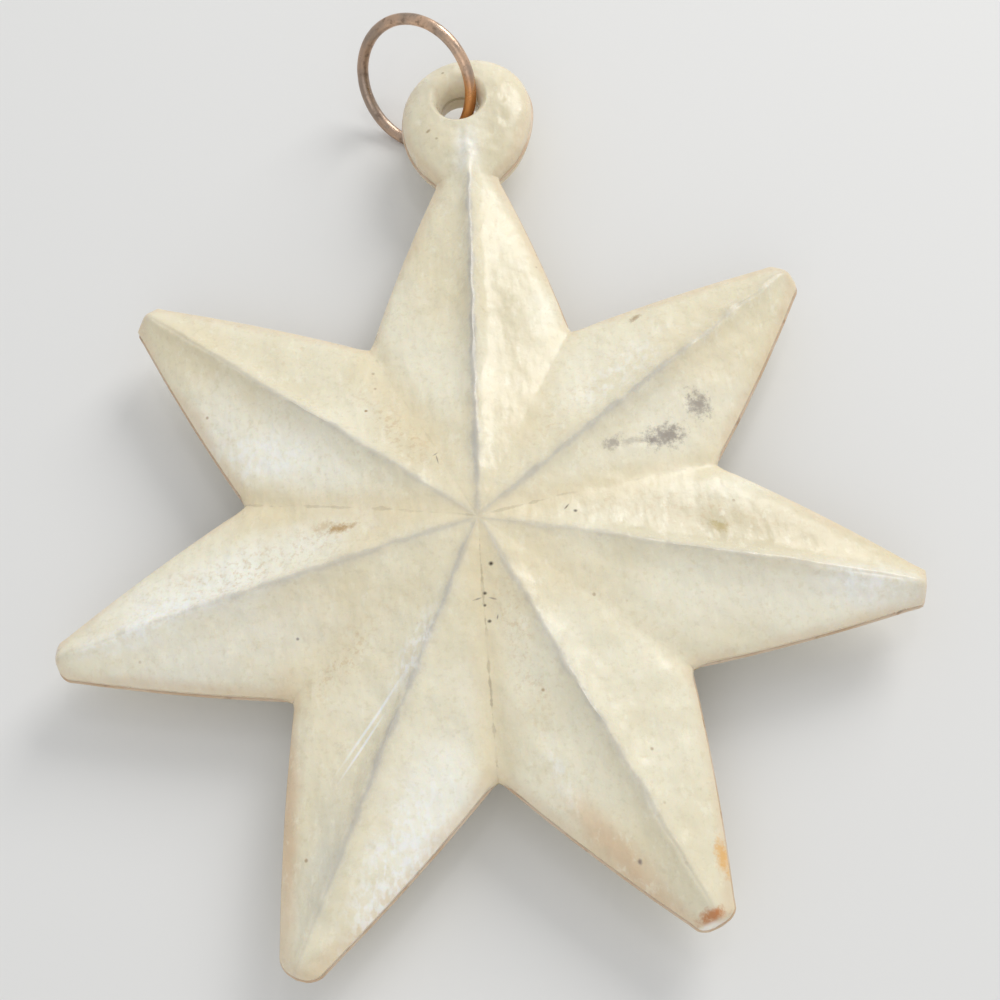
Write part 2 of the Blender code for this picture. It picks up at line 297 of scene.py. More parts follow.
def crestHeight(arm, u):
    ridgeEnd = arm["reach"] if arm["index"] else bead["reach"]
    along = shareOf(u, star["peakFlat"], ridgeEnd)
    rise = (star["peakRise"] - star["rimLand"]) * (1 - along) * (1 + star["ridgeSwell"] * along)
    rise += star["tipRise"] * along
    return star["rimLand"] + rise * (tipRound(arm, u) if arm["index"] else ridgeLeft(arm, u))


def footHeight(arm, u):
    along = shareOf(u, star["peakFlat"], arm["cornerU"])
    rise = (star["peakRise"] - star["rimLand"]) * (1 - along) * (1 + star["valleySwell"] * along)
    return star["rimLand"] + rise


def rimDistance(arm, u, v):
    off = abs(v - centreLine(arm, u))
    if u < arm["cornerU"]:
        return math.hypot(u - arm["cornerU"], off - arm["cornerW"])
    side = (halfWidth(arm, u) - off) * math.cos(arm["sideDrop"])
    if u < arm["sideEnd"] or u < arm["endU"]:
        return max(side, 0.0)
    return max(arm["endRadius"] - math.hypot(u - arm["endU"], off), 0.0)


# everything the pressing rule needs at one point of the flat sheet
def pointRule(arm, u, v):
    ridge = ridgeLine(arm, u)
    off = v - ridge
    side = math.copysign(1, off)
    reach = abs(edgeLine(arm, u, side) - ridge)
    tipward = shareOf(u, 0.0, arm["endU"])
    dome = 0.0
    if arm["index"] == 0:
        spread = math.hypot(pastBead(arm, u), (v - centreLine(arm, u)) / arm["endRadius"])
        dome = (bead["rise"] - star["rimLand"]) * math.sqrt(max(1 - spread ** bead["shoulder"], 0.0))
    roundness = star["ridgeRound"][0] + (star["ridgeRound"][1] - star["ridgeRound"][0]) * tipward
    outward = max(u - arm["cornerU"], 0.0)
    valley = u * math.sin(sector) - abs(v) * math.cos(sector)
    if outward:
        valley = math.hypot(outward, arm["cornerW"] - abs(v))
    rim = rimDistance(arm, u, v)
    ridgeLumps, ridgeSpread = star["ridgeLumps"]
    beadLumps, fullRise = bead["lumps"]
    lumps = 1 + beadLumps * shareOf(dome, 0.0, fullRise) + ridgeLumps * math.exp(-abs(off) / ridgeSpread)
    return {
        "share": min(abs(off) / reach, 1.0) if reach > weld else 1.0,
        "crest": crestHeight(arm, u),
        "foot": footHeight(arm, u),
        "cordSpan": reach / star["cordWidth"],
        "edgeSpan": reach / star["edgeWidth"],
        "edgeRoll": star["edgeRoll"] * shareOf(u, 0.0, arm["cornerU"]) ** star["edgeRollPower"],
        "roundness": roundness / max(reach, roundness),
        "dome": dome,
        "rimGap": rim,
        "valleyGap": abs(valley),
        "ridgeGap": abs(off),
        "tipward": tipward * min(arm["index"], 1),
        "dirt": star["valleyDirt"][(arm["index"] + (0 if side > 0 else -1)) % star["arms"]],
        "crestWearAndShade": star["crestWearAndShade"][arm["index"]] * ridgeLeft(arm, u),
        "calm": eased(rim, *star["calmEdge"]),
        "lumps": lumps,
    }


def flankShare(rule):
    w = rule["roundness"]
    share = (math.hypot(rule["share"], w) - w) / (math.hypot(1, w) - w)
    cord = star["cord"] * (1 - math.exp(-share * rule["cordSpan"]))
    edge = rule["edgeRoll"] * math.exp((share - 1) * rule["edgeSpan"])
    start = rule["edgeRoll"] * math.exp(-rule["edgeSpan"])
    plain = 1 - star["cord"] * (1 - math.exp(-rule["cordSpan"])) - rule["edgeRoll"] + start
    return 1 - cord - (edge - start) - plain * share


def surfaceHeight(arm, u, v):
    rule = pointRule(arm, u, v)
    rise = rule["foot"] + (rule["crest"] - rule["foot"]) * flankShare(rule)
    return star["rimLand"] + softMax(rise - star["rimLand"], rule["dome"], bead["ridgeBlend"])


def armRows(arm):
    core = [arm["cornerU"] * (step / star["coreRows"]) for step in range(star["coreRows"] + 1)]
    core[1] = star["peakFlat"]
    if arm["index"] == 0:
        step = (bead["neckRow"] - arm["cornerU"]) / star["sideRows"]
        return core + [arm["cornerU"] + step * k for k in range(1, star["sideRows"] + 1)]
    step = (arm["sideEnd"] - arm["cornerU"]) / star["sideRows"]
    rows = core + [arm["cornerU"] + step * k for k in range(1, star["sideRows"] + 1)]
    turn = (math.pi / 2 - arm["sideDrop"]) / star["tipRows"]
    angles = [arm["sideDrop"] + turn * k for k in range(1, star["tipRows"] + 1)]
    return rows + [arm["endU"] + arm["endRadius"] * math.sin(angle) for angle in angles]


def crowded(even, amount):
    return (1 - amount) * even + amount * (1 - math.cos(math.pi * even)) / 2


def acrossRow(arm, u):
    ridge = ridgeLine(arm, u)
    row = []
    for facet in range(-star["halfFacets"], star["halfFacets"] + 1):
        share = crowded(abs(facet) / star["halfFacets"], star["facetCrowding"])
        row.append(ridge + (edgeLine(arm, u, math.copysign(1, facet)) - ridge) * share)
    return row


beadArm = makeArm(0)
eye["reach"] = bead["reach"] + eye["outset"]
eyeV = ridgeLine(beadArm, eye["reach"]) + eye["aside"]
eyeSpot = placed(beadArm, eye["reach"], eyeV)


def throatHeight(radius):
    cosine = 1 - (radius - eye["radius"]) / eye["flare"]
    return (bead["rise"] + eye["lip"]) * math.sqrt(max(1 - cosine**2, 0.0))


def lipRadius(du, dv):  # where the throat's flare meets the dome in that direction
    low = eye["radius"]
    high = eye["radius"] + eye["flare"]
    for _ in range(eye["searchSteps"]):
        middle = (low + high) / 2
        if throatHeight(middle) < surfaceHeight(beadArm, eye["reach"] + du * middle, eyeV + dv * middle):
            low = middle
        else:
            high = middle
    return low


def throatProfile(du, dv):  # (radius, height) from the rounded lip down to the seam
    lip = lipRadius(du, dv)
    top = throatHeight(lip)
    wornU, wornV = eye["wornWay"]
    worn = max(0.5 + 0.5 * (du * wornU + dv * wornV), 0.0) ** 2
    roll = eye["lipRound"] + eye["lipRoll"] * worn
    outer = lip + roll
    start = (outer, surfaceHeight(beadArm, eye["reach"] + du * outer, eyeV + dv * outer))
    full = bead["rise"] + eye["lip"]
    depthShare, mostDepth = eye["rollDepth"]
    endAngle = math.asin(min((top - min(depthShare * roll, mostDepth)) / full, 1.0))
    end = (eye["radius"] + eye["flare"] * (1 - math.cos(endAngle)), full * math.sin(endAngle))
    profile = [start]
    for k in range(1, eye["lipRows"] + 1):
        t = k / eye["lipRows"]
        near, pull, far = (1 - t) ** 2, 2 * t * (1 - t), t * t
        profile.append(tuple(near * a + pull * b + far * c for a, b, c in zip(start, (lip, top), end)))
    for k in range(1, eye["throatRows"] + 1):
        angle = endAngle * (1 - k / eye["throatRows"])
        profile.append((eye["radius"] + eye["flare"] * (1 - math.cos(angle)), full * math.sin(angle)))
    return profile


ruleNames = list(pointRule(beadArm, 0.02, 0.001)) + ["fixed", "fixedHeight"]


# the flat blank of one half, with the rule's values on its points
def flatBlank():
    bm = bmesh.new()
    layers = {name: bm.verts.layers.float.new(name) for name in ruleNames}

    def addPoint(arm, u, v, fixedHeight=None):
        vert = bm.verts.new(placed(arm, u, v))
        rule = pointRule(arm, u, v)
        rule["fixed"] = 0.0 if fixedHeight is None else 1.0
        rule["fixedHeight"] = fixedHeight or 0.0
        if arm["index"] == 0:
            rule["calm"] *= eased(math.hypot(u - eye["reach"], v - eyeV), *eye["calm"])
        for name, layer in layers.items():
            vert[layer] = rule[name]
        return vert

    def addStrip(rows, closed=False):
        for inner, outer in zip(rows, rows[1:]):
            count = len(inner) if closed else len(inner) - 1
            for j in range(count):
                k = (j + 1) % len(inner)
                bm.faces.new((inner[j], outer[j], outer[k], inner[k]))

    for index in range(star["arms"]):
        arm = makeArm(index)
        addStrip([[addPoint(arm, u, v) for v in acrossRow(arm, u)] for u in armRows(arm)])
    border = [(bead["neckRow"], v) for v in acrossRow(beadArm, bead["neckRow"])]  # right to left
    firstAngle = math.acos((bead["reach"] - bead["neckRow"]) / bead["drop"])
    span = math.pi / 2 - firstAngle
    angles = [firstAngle + span * k / bead["dropRows"] for k in range(1, bead["dropRows"] + 1)]
    sideRows = [bead["reach"] - bead["drop"] * math.cos(angle) for angle in angles]
    angles = [math.pi / 2 * k / bead["topRows"] for k in range(1, bead["topRows"])]
    sideRows += [bead["reach"] + bead["radius"] * math.sin(angle) for angle in angles]
    border += [(u, edgeLine(beadArm, u, 1)) for u in sideRows]
    border += [(beadArm["reach"], centreLine(beadArm, beadArm["reach"]))]
    border += [(u, edgeLine(beadArm, u, -1)) for u in reversed(sideRows)]
    rays = []
    for u, v in border:
        reach = math.hypot(u - eye["reach"], v - eyeV)
        du = (u - eye["reach"]) / reach
        dv = (v - eyeV) / reach
        profile = throatProfile(du, dv)
        ray = [addPoint(beadArm, eye["reach"] + du * r, eyeV + dv * r, h) for r, h in reversed(profile[1:])]
        inner = profile[0][0]
        for k in range(bead["rayRows"] + 1):
            r = inner + (reach - inner) * crowded(k / bead["rayRows"], bead["rayCrowding"])
            ray.append(addPoint(beadArm, eye["reach"] + du * r, eyeV + dv * r))
        rays.append(ray)
    addStrip(list(zip(*rays)), closed=True)
    bmesh.ops.remove_doubles(bm, verts=bm.verts, dist=weld)
    rim = [e for e in bm.edges if e.is_boundary and (e.verts[0].co - eyeSpot).length > eye["clear"]]
    for height in star["rimSteps"]:
        skirt = bmesh.ops.extrude_edge_only(bm, edges=rim)["geom"]
        rim = [item for item in skirt if isinstance(item, bmesh.types.BMEdge) and item.is_boundary]
        for item in skirt:
            if isinstance(item, bmesh.types.BMVert):
                item[layers["fixed"]] = 1.0
                item[layers["fixedHeight"]] = star["rimLand"] * height
    return bm


pressing = {
    "Mid Height": midHeight,
    "Seam Gap": halfSeam,
    "Rim Land": star["rimLand"],
    "Cord": star["cord"],
    "Ridge Blend": float(bead["ridgeBlend"]),
    "Dent Depth": 0.0002,
    "Dent Size": 0.006,
    "Ripple Depth": 0.00008,
    "Ripple Size": 0.0018,
    "Groove Depth": 0.00009,
    "Groove Width": 0.00012,
    "Valley Width": 0.0011,
    "Waver": 0.00045,
    "Waver Size": 0.002,
}
softening = {
    "steps": 9,  # rounds of blurring in the valleys
    "sideways": 0.55,  # share of the blur that moves points sideways
    "centre": (0.0015, 0.005),  # distances from the centre between which it sets in
    "grooveStart": (0.5, 0.8),  # shares of an arm between which its ridge line is grooved
    "steadyRise": 0.0005,  # where the bead is this high, its lines don't waver
}


# presses a flat blank into one half: flanks between ridge and foot, a domed bead, dents and worn ridge lines
def pressTree():
    labels = ["Facing", *pressing, "Seed"]
    tree, given = newTree("pressedHalf", [(label, "Float") for label in labels] + [("Material", "Material")])
    rule = {name: readAttribute(tree, name) for name in ruleNames}

    def op(operation, *terms):
        return calc(tree, operation, *terms)

    squared = op("MULTIPLY", rule["roundness"], rule["roundness"])
    top = op("SQRT", op("MULTIPLY_ADD", rule["share"], rule["share"], squared))
    top = op("SUBTRACT", top, rule["roundness"])
    bottom = op("SUBTRACT", op("SQRT", op("ADD", squared, 1.0)), rule["roundness"])
    share = op("DIVIDE", top, bottom)
    less = op("SUBTRACT", share, 1.0)
    fade = op("EXPONENT", op("MULTIPLY", op("MULTIPLY", share, rule["cordSpan"]), -1.0))
    cord = op("MULTIPLY", given["Cord"], op("SUBTRACT", 1.0, fade))
    whole = op("SUBTRACT", 1.0, op("EXPONENT", op("MULTIPLY", rule["cordSpan"], -1.0)))
    edge = op("MULTIPLY", rule["edgeRoll"], op("EXPONENT", op("MULTIPLY", less, rule["edgeSpan"])))
    start = op("MULTIPLY", rule["edgeRoll"], op("EXPONENT", op("MULTIPLY", rule["edgeSpan"], -1.0)))
    edge = op("SUBTRACT", edge, start)
    plain = op("SUBTRACT", 1.0, op("MULTIPLY", given["Cord"], whole))
    plain = op("SUBTRACT", plain, op("SUBTRACT", rule["edgeRoll"], start))
    flank = op("SUBTRACT", op("SUBTRACT", op("SUBTRACT", 1.0, cord), edge), op("MULTIPLY", plain, share))
    rise = op("MULTIPLY_ADD", op("SUBTRACT", rule["crest"], rule["foot"]), flank, rule["foot"])
    over = op("MAXIMUM", op("SUBTRACT", rise, given["Rim Land"]), 0.0)
    sharp = given["Ridge Blend"]
    scaledOver = op("POWER", op("MULTIPLY", over, 1000.0), sharp)
    scaledDome = op("POWER", op("MULTIPLY", rule["dome"], 1000.0), sharp)
    joined = op("POWER", op("ADD", scaledOver, scaledDome), op("DIVIDE", 1.0, sharp))
    lift = op("MULTIPLY_ADD", joined, 0.001, given["Rim Land"])
    position = addNode(tree, "GeometryNodeInputPosition").outputs[0]
    for depth, size in (("Dent Depth", "Dent Size"), ("Ripple Depth", "Ripple Size")):
        scaled = vectorMath(tree, "SCALE", position, op("DIVIDE", 1.0, given[size]))
        moved = vectorMath(tree, "ADD", scaled, joinedVector(tree, 0.0, 0.0, given["Seed"]))
        rough = addNode(tree, "ShaderNodeTexNoise", {"Vector": moved, "Scale": 1.0, "Detail": 2.0}).outputs[0]
        amount = op("MULTIPLY", op("SUBTRACT", rough, 0.5), op("MULTIPLY", given[depth], rule["calm"]))
        if depth == "Ripple Depth":
            amount = op("MULTIPLY", amount, rule["lumps"])
        lift = op("ADD", lift, amount)
    near = op("DIVIDE", rule["ridgeGap"], given["Groove Width"])
    line = op("POWER", 2.718, op("MULTIPLY", op("MULTIPLY", near, near), -1.0))  # a bell curve
    line = op("MULTIPLY", line, ranged(tree, rule["tipward"], *softening["grooveStart"]))
    groove = op("MULTIPLY", line, op("MULTIPLY", given["Groove Depth"], rule["calm"]))
    lift = op("SUBTRACT", lift, groove)
    kept = op("SUBTRACT", 1.0, rule["fixed"])
    lift = op("MULTIPLY_ADD", lift, kept, op("MULTIPLY", rule["fixedHeight"], rule["fixed"]))
    height = op("MULTIPLY_ADD", op("ADD", lift, given["Seam Gap"]), given["Facing"], given["Mid Height"])
    scaled = vectorMath(tree, "SCALE", position, op("DIVIDE", 1.0, given["Waver Size"]))
    waver = addNode(tree, "ShaderNodeTexNoise", {"Vector": scaled, "Scale": 1.0, "Detail": 2.0}).outputs[1]
    waver = addNode(tree, "ShaderNodeSeparateXYZ", {0: waver}).outputs
    flat = ranged(tree, rule["dome"], 0.0, softening["steadyRise"], 1.0, 0.0, "LINEAR")
    amount = op("MULTIPLY", op("MULTIPLY", given["Waver"], flat), op("MULTIPLY", rule["calm"], kept))
    aside = [op("MULTIPLY", op("SUBTRACT", waver[axis], 0.5), amount) for axis in ("X", "Y")]
    values = {"Geometry": given["Geometry"], "Offset": joinedVector(tree, *aside, height)}
    pressed = addNode(tree, "GeometryNodeSetPosition", values).outputs[0]
    near = ranged(tree, rule["valleyGap"], 0.0, given["Valley Width"], 1.0, 0.0, "LINEAR")
    clear = ranged(tree, vectorLength(tree, position), *softening["centre"], kind="LINEAR")
    values = {0: position, 1: softening["steps"], 2: op("MULTIPLY", near, clear)}
    blur = addNode(tree, "GeometryNodeBlurAttribute", values, data_type="FLOAT_VECTOR").outputs[0]
    soft = addNode(tree, "ShaderNodeSeparateXYZ", {0: blur}).outputs
    stay = addNode(tree, "ShaderNodeSeparateXYZ", {0: position}).outputs
    level = addNode(tree, "ShaderNodeMix", {0: rule["fixed"], 2: soft["Z"], 3: stay["Z"]}).outputs[0]
    across = []
    for axis in ("X", "Y"):
        values = {0: softening["sideways"], 2: stay[axis], 3: soft[axis]}
        across.append(addNode(tree, "ShaderNodeMix", values).outputs[0])
    values = {"Geometry": pressed, "Position": joinedVector(tree, *across, level)}
    softened = addNode(tree, "GeometryNodeSetPosition", values)
    closeTree(tree, softened.outputs[0], given["Material"])
    return tree


def pressHalf(name, facing, seed, material, tree):
    obj = meshObject(name, flatBlank())
    runTree(obj, tree, pressing | {"Facing": facing, "Seed": seed, "Material": material})
    bm = bmesh.new()
    bm.from_mesh(obj.data)
    bmesh.ops.recalc_face_normals(bm, faces=bm.faces)
    middle = min(bm.faces, key=lambda face: face.calc_center_median().xy.length)
    if middle.normal.z * facing < 0:
        bmesh.ops.reverse_faces(bm, faces=bm.faces)
    bm.to_mesh(obj.data)
    bm.free()
    solid = obj.modifiers.new("wall", "SOLIDIFY")
    solid.thickness = star["wall"]
    solid.offset = -1
    solid.use_even_offset = False
    settle(obj)
    obj.data.shade_smooth()
    obj.data.set_sharp_from_angle(angle=math.radians(star["sharpDeg"]))
    print(name, "pressed:", len(obj.data.polygons), "faces")
    return obj


# celluloid, cement and wire finishes
def newFinish(name, constants):
    material = bpy.data.materials.new(name)
    material.use_nodes = True
    tree = material.node_tree
    shader = tree.nodes["Principled BSDF"]
    for label, value in constants.items():
        shader.inputs[label].default_value = value
    return material, tree, shader


def addBump(tree, shader, strength, distance, height):
    values = {"Strength": strength, "Distance": distance, "Height": height}
    tree.links.new(addNode(tree, "ShaderNodeBump", values).outputs[0], shader.inputs["Normal"])


def objectPoint(tree):
    return addNode(tree, "ShaderNodeTexCoord").outputs["Object"]


def noiseField(tree, scale, detail=3.0, roughness=0.55, stretch=None, shift=0.0):
    vector = objectPoint(tree)
    if stretch or shift:
        values = {0: vector, 1: (shift, shift, shift), 3: stretch or (1, 1, 1)}
        vector = addNode(tree, "ShaderNodeMapping", values).outputs[0]
    values = {"Vector": vector, "Scale": scale, "Detail": detail, "Roughness": roughness}
    return addNode(tree, "ShaderNodeTexNoise", values).outputs[0]


def tinted(tree, factor, first, second):
    node = addNode(tree, "ShaderNodeMix", {0: factor}, data_type="RGBA")
    for socket, value in ((node.inputs[6], first), (node.inputs[7], second)):
        if isinstance(value, bpy.types.NodeSocket):
            tree.links.new(value, socket)
        else:
            socket.default_value = (*value, 1.0)
    return node.outputs[2]


def veiled(tree, colour, tint, noise, low, high, strong):  # the tint comes in where the noise is high
    return tinted(tree, ranged(tree, noise, low, high, 0.0, strong), colour, tint)


def strayed(tree, value, noise, amount):
    return calc(tree, "MULTIPLY_ADD", calc(tree, "SUBTRACT", noise, 0.5), amount, value)


def surfaceValue(tree, name):
    return addNode(tree, "ShaderNodeAttribute", attribute_name=name).outputs["Fac"]


celluloid = {
    "cream": (0.81, 0.74, 0.545),
    "pale": (0.93, 0.88, 0.71),
    "deep": (0.66, 0.575, 0.385),
    "warm": (0.82, 0.7, 0.46),
    # pearly tone, with painted cool light where it lies on the lower flanks
    "pearlAndPaintedCoolLight": (0.85, 0.82, 0.71),
    # painted highlight and sheen
    "paintedMilkSheen": (0.88, 0.86, 0.79),
    "ash": (0.71, 0.7, 0.62),
    # painted sheen
    "paintedSheen": (0.96, 0.93, 0.81),
    "rubbed": (0.46, 0.44, 0.405),  # worn crests, with painted shade along them
    "rimTan": (0.7, 0.5, 0.32),
    "dirt": (0.16, 0.1, 0.045),
    "constants": {
        "Subsurface Weight": 0.25,
        "Subsurface Radius": (1.0, 0.72, 0.42),
        "Subsurface Scale": 0.0003,
        "Specular IOR Level": 0.3,
        "Coat Weight": 0.22,
        "Coat Roughness": 0.14,
    },
    "roughness": (0.22, 0.44),
    "bump": (0.8, 0.0003),
}
# wear along the star's lines, with painted shade on the crests, widths in metres
wear = {
    "crestWidths": ((0.0003, 0.6), (0.0007, 0.4)),  # width and strength of the core and of its haze, grey of wear and painted shade
    "crestStray": 0.0006,
    "crestTip": (0.6, 1.0, 1.0, 0.4),  # shares of an arm between which the grey goes from 1 to 0.4
    "crestBead": (0.0, 0.0008, 1.0, 0.15),  # and rises of the bead between which it goes
    "rimWidth": 0.0008,
    "rimStray": 0.0026,
    "rimStrength": 0.35,
    "lineWidth": 0.00007,
    "lineStray": 0.0005,
    "lineStrength": 0.36,
    "haloWidth": 0.0018,
    "haloStrength": 0.6,
    "speckScale": 620.0,
}
# broad tones on the front, some of them painted sheen, highlight, shade and cool light: x, y, half length,
# half width in mm, turn in degrees, colour, strength
tones = [
    (-7.5, 0.9, 5.0, 1.6, 8, "warm", 0.7),
    # painted sheen: the left arm's upper flank lighter
    (-16.5, -2.0, 9.0, 2.2, 17, "pale", 1.0),
    # painted shade: the right arm's upper flank darker
    (14.5, -0.8, 10.5, 2.4, -12, "deep", 0.75),
    (-4.6, 8.0, 2.0, 6.0, 30, "warm", 0.6),
    (8.5, 11.5, 6.0, 2.0, 35, "pale", 0.45),
    # painted sheen: the lower-left arm's right flank lighter
    (-4.0, -18.0, 3.6, 9.0, -20, "paintedSheen", 0.8),
    # pearly tone with painted cool light on the left arm's lower flank
    (-17.0, -6.5, 9.0, 3.0, 14, "pearlAndPaintedCoolLight", 0.7),
    # painted sheen: the upper-left arm's lower flank lighter
    (-12.5, 6.5, 8.5, 3.4, -35, "paintedSheen", 0.75),
    # this and the next: pearly tone with painted cool light on the lower flanks of the right and upper-right
    # arms
    (18.0, -6.0, 8.0, 2.6, -12, "pearlAndPaintedCoolLight", 0.5),
    (12.0, 6.5, 7.0, 3.0, 35, "pearlAndPaintedCoolLight", 0.4),
    # painted highlight on the bead below the eye
    (0.7, 27.8, 1.2, 2.0, -12, "paintedMilkSheen", 0.6),
    (-2.0, 30.0, 2.5, 2.5, 0, "deep", 0.3),
    (3.0, 12.0, 2.0, 7.0, 8, "deep", 0.3),
    # painted shade: the bead's right darker
    (3.2, 30.5, 1.9, 4.5, 0, "deep", 0.65),
    # painted sheen: the left arm's upper flank lighter still
    (-16.5, -2.2, 9.5, 2.3, 17, "paintedSheen", 1.0),
    # painted sheen near the right arm's tip
    (22.3, -5.7, 5.0, 1.5, -12, "paintedMilkSheen", 0.75),
    (-10.2, -19.5, 1.6, 5.0, -16, "ash", 0.55),
    (-12.2, -16.0, 0.9, 8.0, 0, "rimTan", 0.65),
    (6.7, -20.2, 5.5, 1.0, -52, "rimTan", 0.7),
]
soot = (0.17, 0.13, 0.13)
pit = (0.035, 0.025, 0.015)
brown = (0.3, 0.16, 0.045)
white = (0.97, 0.96, 0.92)
# marks on the front: x, y, half length, half width in mm, turn in degrees, colour, strength, how ragged
marks = [
    (0.6, -3.0, 0.17, 0.16, 0, pit, 0.95, 0.15),
    (0.1, -4.7, 0.15, 0.13, 0, pit, 0.9, 0.15),
    (0.05, -5.4, 0.11, 0.1, 0, pit, 0.8, 0.15),
    (0.25, -6.35, 0.15, 0.12, 0, pit, 0.85, 0.15),
    (-0.35, -5.0, 0.3, 0.06, 15, soot, 0.6, 0.4),
    (0.55, -5.05, 0.3, 0.06, -20, soot, 0.6, 0.4),
    (0.75, -6.15, 0.05, 0.16, -15, soot, 0.7, 0.3),
    (5.85, 0.07, 0.15, 0.13, 0, pit, 0.85, 0.15),
    (5.34, 0.36, 0.28, 0.06, 50, pit, 0.75, 0.3),
    (-6.74, 8.47, 0.14, 0.12, 0, brown, 0.8, 0.3),
    (-2.3, 4.25, 0.05, 0.42, 12, soot, 0.75, 0.4),
    (-2.42, 4.62, 0.22, 0.05, 35, soot, 0.6, 0.4),
    (14.06, 7.14, 0.85, 1.05, 20, soot, 0.62, 0.9),
    (11.85, 5.05, 1.4, 0.85, 15, soot, 0.66, 0.9),
    (9.9, 4.75, 1.2, 0.3, 8, soot, 0.3, 0.8),
    (8.5, 4.6, 0.8, 0.42, 40, soot, 0.5, 0.9),
    (10.75, 13.9, 0.55, 0.22, 35, brown, 0.6, 0.9),
    (-8.45, 0.5, 1.0, 0.3, 5, (0.45, 0.25, 0.06), 0.75, 0.8),
    (-9.6, 0.75, 0.8, 0.5, 15, (0.52, 0.34, 0.12), 0.45, 0.9),
    (14.4, -1.2, 0.75, 0.45, -15, (0.47, 0.35, 0.1), 0.6, 0.9),
    (11.3, -23.8, 1.0, 0.45, 18, (0.55, 0.2, 0.05), 0.9, 0.6),
    (11.0, -24.4, 1.2, 0.25, 18, white, 0.7, 0.5),
    (12.3, -20.6, 0.5, 1.2, 10, (0.8, 0.42, 0.09), 0.75, 0.7),
    (7.66, -20.6, 0.16, 0.2, 0, soot, 0.75, 0.4),
    (-11.34, -6.08, 0.12, 0.11, 0, soot, 0.7, 0.3),
    (-1.87, 29.6, 0.2, 0.12, 30, brown, 0.6, 0.6),
    (-1.3, 28.9, 0.14, 0.1, 0, brown, 0.5, 0.6),
    # two long white streaks: scratch lines painted as highlights
    (-6.9, -11.5, 3.9, 0.12, 51, white, 0.95, 0.12),
    (-7.6, -13.0, 2.6, 0.1, 52, white, 0.95, 0.12),
]
tan = (0.66, 0.5, 0.3)
# patches of fine flecks on the front, the white ones painted highlights, the tan ones flecks of age: as the
# tones
flecksAndPaintedGlints = [
    (-14.5, -1.6, 9.0, 2.0, 17, tan, 0.45),
    (-5.0, 7.0, 1.4, 6.0, 38, tan, 0.5),
    (13.5, -0.2, 9.0, 1.8, -11, tan, 0.45),
    (6.0, 7.5, 6.0, 1.3, 50, tan, 0.35),
    (-8.5, -7.5, 5.0, 1.4, 42, tan, 0.45),
    (2.0, -8.0, 1.2, 6.0, 8, tan, 0.4),
    (-6.2, -19.8, 2.3, 6.5, -28, white, 0.85),
    (22.5, -5.5, 4.2, 1.1, -12, white, 0.6),
    (-20.0, -4.0, 6.0, 1.4, 20, white, 0.75),
    (-4.4, -8.0, 3.8, 0.9, 60, white, 0.7),
    (-13.4, 6.3, 3.8, 2.0, -15, white, 0.6),
    (3.6, -15.5, 0.9, 2.6, 20, white, 0.5),
    (0.6, 27.8, 1.1, 1.7, 0, white, 0.5),
    (9.0, 9.5, 5.0, 1.6, 38, white, 0.4),
]


def spotShare(tree, x, y, length, width, turn):
    values = {0: objectPoint(tree), 1: (x / 1000, y / 1000, 0), 2: (0, 0, math.radians(turn))}
    values[3] = (length / 1000, width / 1000, 1000)
    return vectorLength(tree, addNode(tree, "ShaderNodeMapping", values, vector_type="TEXTURE").outputs[0])


